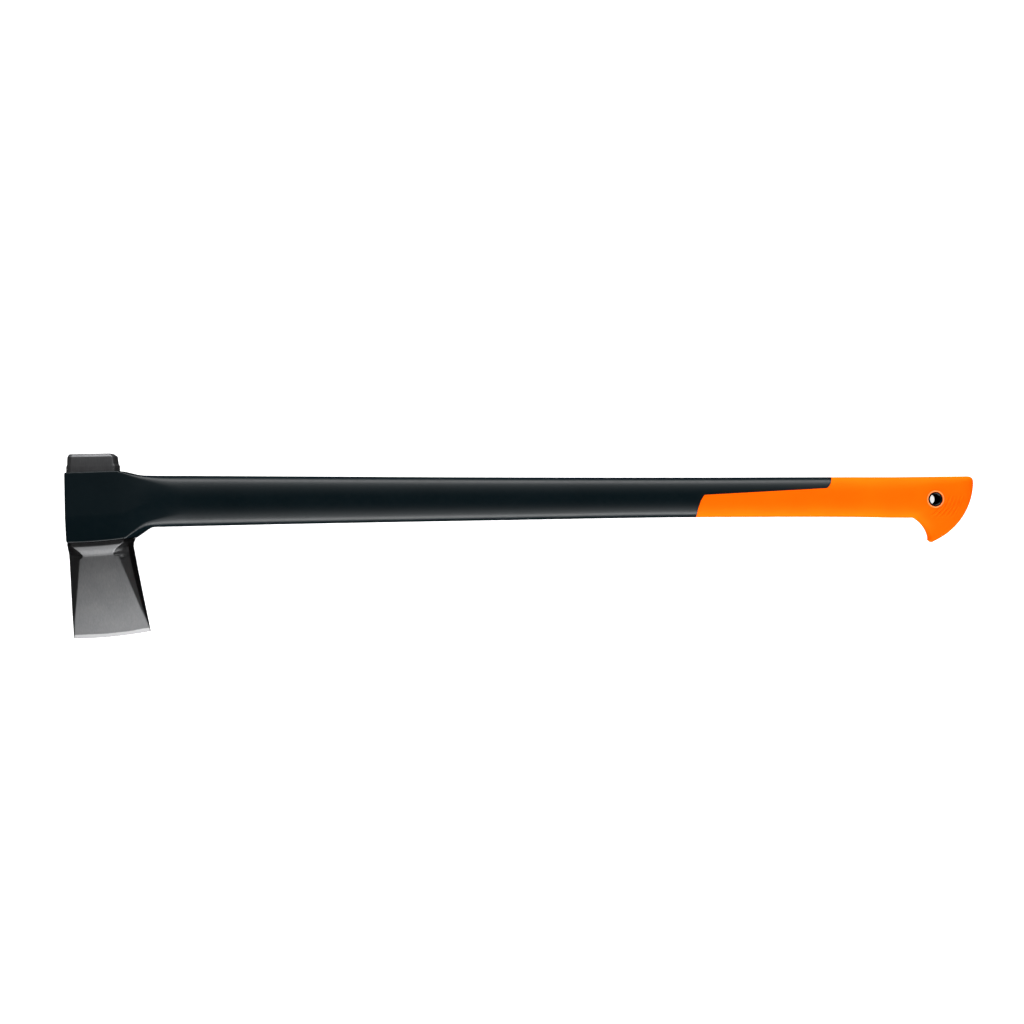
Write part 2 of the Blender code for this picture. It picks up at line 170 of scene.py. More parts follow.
# Hollow and core passage
HOLLOW_END = 0.858
HOLLOW_WALL = 0.0046
GRIP_HOLLOW_WALL = 0.0064
WALL_THICKENS = (0.590, 0.640)
PASSAGE_UP = 0.1545
PASSAGE_RADIUS = 0.0037
PASSAGE_OVERLAP = 0.004
PASSAGE_SIDES = 32
PLUG_HEAD_RADIUS = 0.0046
PLUG_HEAD_START = 0.9088

# Vertices closer than the weld are joined, and faces narrower than a sliver are dissolved
WELD = 0.000004
SLIVER = 0.000002

# Height of the back and of the belly at distances along the handle
BACK = (
    (0.0530, 0.1697),
    (0.0618, 0.1677),
    (0.0700, 0.1662),
    (0.0800, 0.1653),
    (0.1300, 0.1651),
    (0.2350, 0.1645),
    (0.4400, 0.1635),
    (0.6400, 0.1633),
    (0.7850, 0.1637),
    (0.8400, 0.1637),
    (0.8700, 0.1640),
    (0.9100, 0.1645),
)
BELLY = (
    (0.0640, 0.10195),
    (0.0700, 0.1058),
    (0.0760, 0.1095),
    (0.0820, 0.1123),
    (0.0880, 0.1132),
    (0.0970, 0.1133),
    (0.2350, 0.1163),
    (0.4400, 0.1200),
    (0.5900, 0.1226),
    (0.6800, 0.1232),
    (0.7850, 0.1233),
    (0.8476, 0.1223),
)
# Half thickness of the oval handle at distances along it
OVAL_HALF = (
    (0.0500, 0.0180),
    (0.1240, 0.0168),
    (0.2350, 0.0160),
    (0.4400, 0.0152),
    (0.6000, 0.0148),
    (0.8500, 0.0147),
)
# Sections of the coarse inner bodies
CORE_STATIONS = (
    0.076, 0.082, 0.088, 0.097, 0.106, 0.115, 0.124, 0.160, 0.235, 0.310, 0.375,
    0.440, 0.515, 0.590, 0.640, 0.680, 0.732, 0.785, 0.810,
)

# Levels of the head: up, front, heel, start and end of the cheek, half thickness in the
# cheek and at the end walls
EDGE_LEVELS = (
    (0.0000, 0.0055, 0.0837, 0.0062, 0.0829, 0.00015, 0.00015),
    (0.0037, 0.0055, 0.0827, 0.0064, 0.0818, 0.0012, 0.0010),
)
FACE_LEVELS = (
    (0.0037, 0.0055, 0.0827, 0.0064, 0.0818, 0.0012, 0.0010),
    (0.0150, 0.0055, 0.0799, 0.0072, 0.0785, 0.0050, 0.0042),
    (0.0260, 0.0054, 0.0771, 0.0086, 0.0749, 0.0086, 0.0068),
    (0.0390, 0.0052, 0.0740, 0.0106, 0.0706, 0.0125, 0.0089),
    (0.0530, 0.0050, 0.0709, 0.0127, 0.0659, 0.0163, 0.0107),
    (0.0670, 0.0046, 0.0679, 0.0146, 0.0610, 0.0198, 0.0120),
    (0.0800, 0.0041, 0.0653, 0.0164, 0.0565, 0.0227, 0.0127),
)
FLARE_LEVELS = (
    (0.0800, 0.0041, 0.0653, 0.0164, 0.0565, 0.0227, 0.0127),
    (0.0830, 0.0039, 0.0647, 0.0203, 0.0510, 0.0233, 0.0127),
    (0.0852, 0.0037, 0.0642, 0.0198, 0.0504, 0.0241, 0.0127),
    (0.0890, 0.0030, 0.0636, 0.0160, 0.0538, 0.0259, 0.0126),
    (0.0930, 0.0021, 0.0638, 0.0112, 0.0598, 0.0275, 0.0124),
    (0.0946, 0.0017, 0.0648, 0.0090, 0.0616, 0.0275, 0.0122),
    (COLLAR_FOOT - GAP, 0.0016, 0.0652, 0.0086, 0.0622, 0.0275, 0.0122),
)
WAIST_LEVELS = (
    (COLLAR_FOOT - GAP, 0.0082, 0.0500, 0.0130, 0.0452, 0.0185, 0.0135),
    (0.1140, 0.0078, 0.0490, 0.0126, 0.0442, 0.0175, 0.0128),
    (0.1160, 0.0078, 0.0488, 0.0126, 0.0440, 0.0152, 0.0116),
    (0.1260, 0.0075, 0.0480, 0.0123, 0.0432, 0.0144, 0.0111),
    (0.1280, 0.0074, 0.0478, 0.0122, 0.0430, 0.0160, 0.0118),
    (0.1410, 0.0070, 0.0462, 0.0117, 0.0415, 0.0143, 0.0108),
    (0.1540, 0.0065, 0.0446, 0.0111, 0.0400, 0.0125, 0.0098),
    (0.1610, 0.0063, 0.0438, 0.0108, 0.0392, 0.0116, 0.0093),
    (COLLAR_TOP + GAP, 0.0060, 0.0430, 0.0105, 0.0385, 0.0106, 0.0088),
)
POLL_SHOULDER = COLLAR_TOP + POLL_FOOT
POLL_LEVELS = (
    (COLLAR_TOP + GAP, 0.0000, 0.0502, 0.0046, 0.0488, 0.0129, 0.0107),
    (POLL_SHOULDER, 0.0000, 0.0501, 0.0046, 0.0487, 0.0124, 0.0103),
    (POLL_SHOULDER + POLL_STEP, 0.0007, 0.0490, 0.0050, 0.0477, 0.0122, 0.0101),
    (POLL_TOP - POLL_CHAMFER, 0.0009, 0.0481, 0.0051, 0.0467, 0.0114, 0.0094),
    (POLL_TOP - 0.0004, 0.0022, 0.0448, 0.0064, 0.0434, 0.0090, 0.0080),
    (POLL_TOP, 0.0028, 0.0438, 0.0072, 0.0424, 0.0083, 0.0073),
)


def place(along, up, out=0.0):
    return Vector((CAD_LOW.x + along, CAD_HIGH.y - HEIGHT + up, MIDDLE + out))


def blend(a, b, share):
    return a + (b - a) * share


def blend_all(a, b, share):
    return tuple(blend(p, q, share) for p, q in zip(a, b))


def smooth_step(start, end, value):
    share = min(1.0, max(0.0, (value - start) / (end - start)))
    return share * share * (3 - 2 * share)


def read_curve(points, at):
    """The height of a smooth curve through the points, at one distance."""
    at = min(points[-1][0], max(points[0][0], at))
    i = 0
    while i < len(points) - 2 and at > points[i + 1][0]:
        i += 1

    def slope(k):
        low = points[max(k - 1, 0)]
        high = points[min(k + 1, len(points) - 1)]
        return (high[1] - low[1]) / (high[0] - low[0])

    (x0, y0), (x1, y1) = points[i], points[i + 1]
    span = x1 - x0
    t = (at - x0) / span
    from_start = (1 + 2 * t) * (1 - t) ** 2 * y0 + t * t * (3 - 2 * t) * y1
    from_slopes = t * (1 - t) ** 2 * slope(i) + t * t * (t - 1) * slope(i + 1)
    return from_start + from_slopes * span


def on_circle(centre, radius, angle):
    return (centre[0] + radius * math.cos(angle), centre[1] + radius * math.sin(angle))


def even_steps(start, end, steps):
    """Points evenly spaced from start to end, without the start."""
    return [blend_all(start, end, k / steps) for k in range(1, steps + 1)]


def bend(start, corner, end, steps):
    """Points along a curve that leaves start towards corner and arrives at end."""
    points = []
    for i in range(steps + 1):
        t = i / steps
        points.append(blend_all(blend_all(start, corner, t), blend_all(corner, end, t), t))
    return points


# Meshes


def mirrored(near):
    """A closed loop from its near half, which starts and ends on the middle plane."""
    return near + [(a, -out) for a, out in reversed(near[1:-1])]


def join_loops(bm, low, high):
    """Faces between two loops of equally many vertices."""
    for i in range(len(low)):
        j = (i + 1) % len(low)
        bm.faces.new((low[i], low[j], high[j], high[i]))


def new_object(name, bm):
    mesh = bpy.data.meshes.new(name)
    bm.to_mesh(mesh)
    bm.free()
    piece = bpy.data.objects.new(name, mesh)
    bpy.context.collection.objects.link(piece)
    return piece


def closed_object(name, bm):
    """An object from a closed mesh, with its faces turned outwards."""
    bmesh.ops.recalc_face_normals(bm, faces=bm.faces)
    return new_object(name, bm)


def loft_object(name, rings):
    """A body through mirrored loops of points, with its ends closed in strips."""
    bm = bmesh.new()
    rows = [[bm.verts.new(point) for point in ring] for ring in rings]
    for low, high in zip(rows, rows[1:]):
        join_loops(bm, low, high)
    count = len(rows[0])
    for row in (rows[0], rows[-1]):
        for i in range(count // 2):
            corners = [row[i], row[i + 1], row[count - i - 1], row[(count - i) % count]]
            bm.faces.new(list(dict.fromkeys(corners)))
    return closed_object(name, bm)


def prism_object(name, outline, half):
    """An outline extruded to both sides of the middle plane."""
    bm = bmesh.new()
    low = [bm.verts.new(place(x, y, -half)) for x, y in outline]
    high = [bm.verts.new(place(x, y, half)) for x, y in outline]
    join_loops(bm, low, high)
    bm.faces.new(low)
    bm.faces.new(high)
    return closed_object(name, bm)


def turned_object(name, rings):
    """A body of revolution from rings of equally many points, closed by flat caps."""
    bm = bmesh.new()
    rows = [[bm.verts.new(point) for point in ring] for ring in rings]
    for low, high in zip(rows, rows[1:]):
        join_loops(bm, low, high)
    bm.faces.new(rows[0])
    bm.faces.new(rows[-1])
    return closed_object(name, bm)


def full_circle(steps):
    return [2 * math.pi * i / steps for i in range(steps)]


def turned_across(name, centre, profile):
    """A body turned about a line across the thickness, from (out, radius) pairs."""
    angles = full_circle(CIRCLE_SIDES)
    rings = []
    for out, radius in profile:
        rings.append([place(*on_circle(centre, radius, angle), out) for angle in angles])
    return turned_object(name, rings)


def turned_along(name, profile):
    """A body turned about the line of the core passage, from (along, radius) pairs."""
    rings = []
    for along, radius in profile:
        ring = []
        for angle in full_circle(PASSAGE_SIDES):
            up = PASSAGE_UP + radius * math.cos(angle)
            ring.append(place(along, up, radius * math.sin(angle)))
        rings.append(ring)
    return turned_object(name, rings)


def combine(piece, operation, tool):
    """Applies a Boolean to the piece's mesh and removes the tool."""
    modifier = piece.modifiers.new("combine", "BOOLEAN")
    modifier.operation = operation
    modifier.solver = "EXACT"
    modifier.object = tool
    graph = bpy.context.evaluated_depsgraph_get()
    result = bpy.data.meshes.new_from_object(piece.evaluated_get(graph))
    piece.modifiers.clear()
    old = piece.data
    piece.data = result
    bpy.data.meshes.remove(old)
    bpy.data.objects.remove(tool, do_unlink=True)


def finish_shading(piece, sharp_degrees):
    """Smooth shading with sharp corners kept, where broad faces set the normals."""
    mesh = piece.data
    bm = bmesh.new()
    bm.from_mesh(mesh)
    bmesh.ops.remove_doubles(bm, verts=bm.verts, dist=WELD)
    bmesh.ops.dissolve_degenerate(bm, edges=bm.edges, dist=SLIVER)
    bm.to_mesh(mesh)
    bm.free()
    mesh.shade_smooth()
    mesh.set_sharp_from_angle(angle=math.radians(sharp_degrees))
    weighted = piece.modifiers.new("weighted normals", "WEIGHTED_NORMAL")
    weighted.keep_sharp = True


# Head


def blade_rise(along):
    return along * along / (2 * EDGE_RADIUS)


def collar_rise(along):
    return along * COLLAR_SLOPE


def poll_rise(along):
    return along * POLL_SLOPE


def smooth_levels(table, steps):
    """Levels read from smooth curves through a table's columns, spaced evenly."""
    columns = [[(row[0], row[k]) for row in table] for k in range(1, 7)]
    levels = []
    for i in range(steps + 1):
        up = blend(table[0][0], table[-1][0], i / steps)
        levels.append((up, *(read_curve(column, up) for column in columns)))
    return levels


def softened_levels(table):
    """A table's own levels, with each inner crease taken off by a narrow facet."""
    levels = [table[0]]
    for before, here, after in zip(table, table[1:], table[2:]):
        for other in (before, after):
            share = min(MOST_ROUNDED, HEAD_SOFTEN / abs(other[0] - here[0]))
            levels.append(blend_all(here, other, share))
    levels.append(table[-1])
    return levels


def head_section(level, grow=0.0, corner=HEAD_CORNER):
    """The head's section at one level, with its corners slightly rounded."""
    _, front, heel, cheek_start, cheek_end, half, end_half = level
    corners = [
        (front - grow, 0.0),
        (front - grow, end_half + grow),
        (cheek_start, half + grow),
        (cheek_end, half + grow),
        (heel + grow, end_half + grow),
        (heel + grow, 0.0),
    ]
    near = [corners[0]]
    for before, here, after, span in zip(corners, corners[1:], corners[2:], HEAD_SPANS):
        start = blend_all(here, before, min(MOST_ROUNDED, corner / math.dist(before, here)))
        end = blend_all(here, after, min(MOST_ROUNDED, corner / math.dist(after, here)))
        near += even_steps(near[-1], start, span)[:-1]
        near += bend(start, here, end, HEAD_CORNER_STEPS)
    near += even_steps(near[-1], corners[-1], HEAD_SPANS[-1])
    return mirrored(near)


def head_ring(level, rise, grow=0.0, corner=HEAD_CORNER):
    section = head_section(level, grow, corner)
    return [place(a, level[0] + rise(a), out) for a, out in section]


def waist_rise(level):
    """Between the arc of the cutting edge and the slope of the collar's top."""
    share = smooth_step(COLLAR_FOOT, COLLAR_TOP, level[0])
    return lambda along: blend(blade_rise(along), collar_rise(along), share)


def poll_level_rise(level):
    share = smooth_step(COLLAR_TOP + GAP, POLL_TOP - POLL_CHAMFER, level[0])
    return lambda along: blend(collar_rise(along), poll_rise(along), share)


def make_head():
    levels = smooth_levels(EDGE_LEVELS, EDGE_STEPS)
    levels += smooth_levels(FACE_LEVELS, FACE_STEPS)[1:]
    rings = [head_ring(level, blade_rise) for level in levels]
    for level in softened_levels(FLARE_LEVELS)[1:]:
        rings.append(head_ring(level, blade_rise, corner=FLARE_CORNER))
    rings += [head_ring(level, waist_rise(level)) for level in WAIST_LEVELS]
    rings += [head_ring(lv, poll_level_rise(lv)) for lv in softened_levels(POLL_LEVELS)]
    head = loft_object("head_steel", rings)
    finish_shading(head, HEAD_SHARP_DEGREES)
    return head


def make_head_pocket():
    """The waist with its gap, carried on past both openings of the collar."""
    overrun = Vector((0, POCKET_OVERRUN, 0))
    rings = [head_ring(level, waist_rise(level), GAP) for level in WAIST_LEVELS]
    rings.insert(0, [point - overrun for point in rings[0]])
    rings.append([point + overrun for point in rings[-1]])
    return loft_object("head_pocket", rings)


# Handle


def station(belly, back, half, back_half=None, boxy=0.0, powers=None):
    """A section of the handle between a point on its belly and one on its back."""
    return {
        "belly": belly,
        "back": back,
        "half": half,
        "back_half": half if back_half is None else back_half,
        "boxy": boxy,
        "powers": powers or (OVAL_POWER, OVAL_POWER),
    }


def signed_power(value, power):
    return math.copysign(abs(value) ** power, value)


def oval_point(turn, depth, half, powers):
    """A point of the half oval from belly to back, where turn goes from 0 to 1."""
    angle = math.pi * turn
    power = powers[0] if turn < 0.5 else powers[1]
    up = -signed_power(math.cos(angle), 2 / power) * depth
    return (up, abs(math.sin(angle)) ** (2 / power) * half)


def box_point(turn, depth, half, back_half):
    """The matching point of half of the collar's section.

    Of its steps, 2 cross the belly, 3 round a corner, 1 climbs the upright land, 3 climb
    the leaning cheek, 3 round a corner and 2 cross the back.
    """
    corner = COLLAR_CORNER
    land = COLLAR_LAND - depth
    t = turn * OVAL_ANGLES
    if t <= 2:
        return (-depth, (half - corner) * t / 2)
    if t <= 5:
        angle = math.radians(30 * (t - 2))
        up = -depth + corner * (1 - math.cos(angle))
        return (up, half - corner * (1 - math.sin(angle)))
    if t <= 6:
        return (blend(-depth + corner, land, t - 5), half)
    if t <= 9:
        share = (t - 6) / 3
        return (blend(land, depth - corner, share), blend(half, back_half, share))
    if t <= 12:
        angle = math.radians(30 * (t - 9))
        out = back_half - corner * (1 - math.cos(angle))
        return (depth - corner * (1 - math.sin(angle)), out)
    return (depth, (back_half - corner) * (OVAL_ANGLES - t) / 2)


def section_ring(section, fine):
    """The loop of points of one section of the handle."""
    belly = Vector(section["belly"])
    back = Vector(section["back"])
    middle = (belly + back) / 2
    depth = (back - belly).length / 2
    axis = (back - belly).normalized()
    half = section["half"]
    near = []
    for i in range(OVAL_ANGLES * fine + 1):
        turn = i / (OVAL_ANGLES * fine)
        oval = oval_point(turn, depth, half, section["powers"])
        box = box_point(turn, depth, half, section["back_half"])
        near.append(blend_all(oval, box, section["boxy"]))
    ring = []
    for up, out in mirrored(near):
        along, height = middle + axis * up
        ring.append(place(along, height, out))
    return ring


def handle_loft(name, sections, fine=1):
    return loft_object(name, [section_ring(section, fine) for section in sections])


def back_at(along):
    if along <= NECK_CORNER:
        return COLLAR_TOP + collar_rise(along)
    return read_curve(BACK, along)


def belly_at(along):
    if along <= COLLAR_END:
        return COLLAR_FOOT + blade_rise(along)
    return read_curve(BELLY, along)


def neck_station(foot_along, top_along, inset=0.0):
    """A section of the collar, the neck or the straight handle."""
    boxy = 1 - smooth_step(NECK_START, NECK_END, top_along)
    oval = read_curve(OVAL_HALF, top_along)
    return station(
        (foot_along, belly_at(foot_along) + inset),
        (top_along, back_at(top_along) - inset),
        blend(oval, COLLAR_HALF, boxy) - inset,
        blend(oval, COLLAR_TOP_HALF, boxy) - inset,
        boxy,
    )


def collar_stations():
    """Sections from the rounded outer end of the collar to the start of the neck."""
    foot, top = COLLAR_FOOT_START, COLLAR_TOP_START
    sections = []
    for degrees in (0, 18, 36, 54, 72, 90):
        angle = math.radians(degrees)
        inset = COLLAR_ROUND * (1 - math.sin(angle))
        in_along = COLLAR_ROUND * (1 - math.cos(angle))
        sections.append(neck_station(foot + in_along, top + in_along, inset))
    corner_share = (NECK_CORNER - top) / (COLLAR_END - top)
    first, steps = COLLAR_FIRST_SHARE, COLLAR_STEPS
    shares = [first + (corner_share - first) * i / steps for i in range(steps + 1)]
    steps = COLLAR_LAST_STEPS
    shares += [corner_share + (1 - corner_share) * (i + 1) / steps for i in range(steps)]
    for share in shares:
        foot_along = blend(foot, COLLAR_END, share)
        sections.append(neck_station(foot_along, blend(top, COLLAR_END, share)))
    return sections


def straight_stations():
    sections = []
    along = COLLAR_END + NECK_STEP
    while along < FAN_START - NECK_STEP:
        sections.append(neck_station(along, along))
        along += NECK_STEP if along < NECK_END else SHAFT_STEP
    return sections


def walk(pieces, distance):
    """The point at a distance along a path of (length, function of the share) pieces."""
    for length, point_at in pieces[:-1]:
        if distance < length:
            return point_at(distance / length)
        distance -= length
    length, point_at = pieces[-1]
    return point_at(min(1.0, distance / length))


def straight(start, end):
    return (math.dist(start, end), lambda share: blend_all(start, end, share))


def arc(centre, radius, start, end):
    length = radius * abs(end - start)
    return (length, lambda share: on_circle(centre, radius, blend(start, end, share)))


def hook_paths(inset):
    """The inner and the outer outline from the end of the straight handle to the tip."""
    quarter = math.pi / 2
    hook = HOOK_RADIUS + inset
    hook_start = on_circle(HOOK_CENTRE, hook, HOOK_START)
    inner_start = (FAN_START, belly_at(FAN_START) + inset)
    inner = [
        straight(inner_start, hook_start),
        arc(HOOK_CENTRE, hook, HOOK_START, HOOK_END),
    ]
    corner_centre = (BUTT_CENTRE[0] + BUTT_RADIUS - CORNER_RADIUS, BUTT_CENTRE[1])
    corner = CORNER_RADIUS - inset
    outer_start = (FAN_START, back_at(FAN_START) - inset)
    outer = [
        straight(outer_start, on_circle(corner_centre, corner, quarter)),
        arc(corner_centre, corner, quarter, 0.0),
        arc(BUTT_CENTRE, BUTT_RADIUS - inset, 0.0, BUTT_END),
    ]
    return inner, outer


def hook_stations(inset=0.0, steps=FAN_STEPS, last_extra=0.0, fine=1):
    """Sections fanned round the hook, in the same proportion along both outlines."""
    inner, outer = hook_paths(inset)
    inner_length = sum(length for length, _ in inner)
    outer_length = sum(length for length, _ in outer)
    straight_half = read_curve(OVAL_HALF, FAN_START)
    distances = [0.0]
    for (length, _), count, full_count in zip(outer, steps, FAN_STEPS):
        start = distances[-1]
        for i in range(count * fine):
            distances.append(start + length * (i + 1) / (full_count * fine))
    distances[-1] += last_extra * (distances[-1] - distances[-2])
    sections = []
    for distance in distances:
        share = distance / outer_length
        half = blend(straight_half, TIP_HALF, smooth_step(*HOOK_THINS, share))
        squared = smooth_step(*HOOK_SQUARES, share)
        powers = [blend(OVAL_POWER, power, squared) for power in (HOOK_POWER, RIM_POWER)]
        belly = walk(inner, share * inner_length)
        back = walk(outer, distance)
        sections.append(station(belly, back, half - inset, powers=powers))
    return sections


def tip_stations(last):
    """Sections that round the hook's tip over."""
    sections = []
    for degrees in (22.5, 45, 67.5, 90):
        inward = 1 - math.cos(math.radians(degrees))
        onward = math.sin(math.radians(degrees))
        ends = []
        for end, tip in zip((last["belly"], last["back"]), TIP):
            ends.append(blend_all(end, tip, onward))
        half = blend(last["half"], TIP_HALF * TIP_ROUNDING, inward)
        sections.append(station(*ends, half, powers=last["powers"]))
    return sections


def outer_handle(name):
    """The handle's outer shape, with the grip's skin on it and nothing hollowed out."""
    sections = collar_stations() + straight_stations() + hook_stations(fine=FINE)
    sections += tip_stations(sections[-1])
    return handle_loft(name, sections, FINE)


def core_body(name, inset, last_extra=0.0):
    """The handle's core under the grip's skin."""
    sections = [neck_station(CORE_START, CORE_START, inset)]
    sections += [neck_station(a, a, inset) for a in CORE_STATIONS if a > CORE_START]
    sections += hook_stations(inset, CORE_FAN_STEPS, last_extra)
    return handle_loft(name, sections)


def hollow_body():
    sections = []
    for along in (*CORE_STATIONS, HOLLOW_END):
        thicker = smooth_step(*WALL_THICKENS, along)
        wall = blend(HOLLOW_WALL, GRIP_HOLLOW_WALL, thicker)
        sections.append(neck_station(along, along, wall))
    return handle_loft("handle_hollow", sections)


def grip_zone(name, shift=0.0):
    """The outline that the grip covers: its slanted front, and the step at the back."""
    front = bend(*GRIP_FRONT, GRIP_FRONT_STEPS)
    step = bend(*GRIP_STEP, GRIP_STEP_STEPS)
    low, high = -ZONE_BEYOND, HEIGHT + ZONE_BEYOND
    outline = [(front[0][0], low)] + front + step
    outline += [(step[-1][0], high), (ZONE_END, high), (ZONE_END, low)]
    moved = [(along - shift, up + shift) for along, up in outline]
    return prism_object(name, moved, 2 * COLLAR_HALF)


def make_shaft():
    shaft = outer_handle("shaft_moulding")
    combine(shaft, "DIFFERENCE", grip_zone("shaft_zone", GAP))
    combine(shaft, "UNION", core_body("handle_core", SKIN + GAP))
    rim = EYE_BOSS_ROUND
    boss = [(-EYE_BOSS_HALF, EYE_BOSS - rim), (-EYE_BOSS_HALF + rim, EYE_BOSS)]
    boss += [(-out, radius) for out, radius in reversed(boss)]
    combine(shaft, "UNION", turned_across("eye_boss", HANG_HOLE, boss))
    combine(shaft, "DIFFERENCE", hollow_body())
    passage = [
        (HOLLOW_END - PASSAGE_OVERLAP, PASSAGE_RADIUS),
        (PLUG_HEAD_START - GAP, PASSAGE_RADIUS),
        (PLUG_HEAD_START - GAP, PLUG_HEAD_RADIUS + GAP),
        (CAD_HIGH.x - CAD_LOW.x, PLUG_HEAD_RADIUS + GAP),
    ]
    combine(shaft, "DIFFERENCE", turned_along("core_passage", passage))
    combine(shaft, "DIFFERENCE", make_head_pocket())
    mouth = EYE_BOSS_HALF - BORE_FLARE
    bore = [(-COLLAR_HALF, HANG_BORE + COLLAR_HALF - mouth), (-mouth, HANG_BORE)]
    bore += [(-out, radius) for out, radius in reversed(bore)]
    combine(shaft, "DIFFERENCE", turned_across("hang_bore", HANG_HOLE, bore))
    finish_shading(shaft, HANDLE_SHARP_DEGREES)
    return shaft


def surface_finder(piece):
    """A function that gives how far out the piece's surface is over a point."""
    bm = bmesh.new()
    bm.from_mesh(piece.data)
    tree = BVHTree.FromBMesh(bm)
    bm.free()

    def find(along, up):
        start = place(along, up, COLLAR_HALF)
        hit = tree.ray_cast(start, Vector((0, 0, -1)))[0]
        return hit.z - MIDDLE

    return find


def relief_ridge(name, surface, centre, path_radius, path, half_width, side):
    """A low rounded ridge along an arc on the grip's cheek, its root sunk in the skin.

    The path is a list of (angle, height) pairs, and a ridge that ends has no height there.
    """
    bm = bmesh.new()
    rows = []
    for angle, height in path:
        row = []
        for k in range(RIDGE_STEPS + 1):
            turn = math.pi * k / RIDGE_STEPS
            radius = path_radius + half_width * math.cos(turn)
            point = on_circle(centre, radius, angle)
            out = surface(*point) + height * math.sin(turn) - RELIEF_FOOT
            row.append(bm.verts.new(place(*point, side * out)))
        for edge in (-half_width, half_width):
            point = on_circle(centre, path_radius + edge, angle)
            row.append(bm.verts.new(place(*point, side * (surface(*point) - RELIEF_ROOT))))
        rows.append(row)
    for low, high in zip(rows, rows[1:]):
        join_loops(bm, low, high)
    if path[0][1] > 0:
        join_loops(bm, rows[-1], rows[0])
    else:
        bm.faces.new(rows[0])
        bm.faces.new(rows[-1])
    return closed_object(name, bm)


def rib_path(radius):
    """Angles and heights along one rib, which fades out at both ends."""
    ends = [math.asin((up - BUTT_CENTRE[1]) / radius) for up in RIB_UP]
    path = [(ends[0], 0.0)]
    for i in range(1, RIB_STEPS):
        share = i / RIB_STEPS
        height = RIB_HEIGHT * math.sin(math.pi * share) ** RIB_TAPER
        path.append((blend(*ends, share), height))
    path.append((ends[1], 0.0))
    return path


def add_relief(grip):
    surface = surface_finder(grip)
    around = [(angle, BEAD_HEIGHT) for angle in full_circle(BEAD_STEPS)]
    ridges = [("bead", HANG_HOLE, BEAD_RADIUS, around, BEAD_HALF_WIDTH)]
    for radius in RIB_RADII:
        ridges.append(("rib", BUTT_CENTRE, radius, rib_path(radius), RIB_HALF_WIDTH))
    for side in (-1, 1):
        for name, *ridge in ridges:
            combine(grip, "UNION", relief_ridge(name, surface, *ridge, side))


def make_grip():
    grip = outer_handle("grip_overmould")
    combine(grip, "INTERSECT", grip_zone("grip_cover"))
    add_relief(grip)
    combine(grip, "DIFFERENCE", core_body("grip_inside", SKIN, CORE_FAN_GAP))
    hole = EYE_BOSS + GAP
    eye = [(-COLLAR_HALF, hole), (COLLAR_HALF, hole)]
    combine(grip, "DIFFERENCE", turned_across("grip_eye", HANG_HOLE, eye))
    finish_shading(grip, HANDLE_SHARP_DEGREES)
    return grip


# Materials

# Both ends of the range of each surface's colour and roughness
NYLON_COLOURS = ((0.0008, 0.0036, 0.0050), (0.0014, 0.0046, 0.0062))
NYLON_ROUGHNESS = (0.31, 0.36)
ORANGE_COLOURS = ((0.985, 0.112, 0.0003), (1.0, 0.125, 0.0005))
ORANGE_ROUGHNESS = (0.66, 0.76)
GROUND_COLOURS = ((0.108, 0.109, 0.111), (0.128, 0.129, 0.131))
GROUND_ROUGHNESS = (0.32, 0.37)
SCALE_ROUGHNESS = (0.42, 0.50)
SCALE_METALLIC = 0.80
HONED_COLOUR = (0.33, 0.33, 0.335)
HONED_ROUGHNESS = 0.30
PLUG_COLOURS = ((0.018, 0.018, 0.020), (0.024, 0.024, 0.026))
PLUG_ROUGHNESS = (0.50, 0.60)
FLOOR_COLOURS = ((0.86, 0.86, 0.86), (0.88, 0.88, 0.88))

# Shades that the steel's colour is multiplied by: random blotches, and painted shade on the band
# just under the collar's lip
BLOTCH_SHADE = (0.88, 0.88, 0.89)
SHOULDER_PAINTED_SHADE = (0.78, 0.78, 0.79)

# Heights on the head, over the arc of the cutting edge, where the finish changes and where
# painted shade begins under the collar's lip
HONED_LEVELS = (0.0033, 0.0041)
SHOULDER_SHADE_LEVELS = (0.0915, 0.0945)
GRIND_WANDER = 0.0004
SCALE_FADE = 0.002

# The bead's crest, painted paler as a highlight
BEAD_HIGHLIGHT_COLOUR = (1.0, 0.42, 0.16)
BEAD_HIGHLIGHT_SHARE = 0.55
BEAD_HIGHLIGHT_CREST = 0.0002


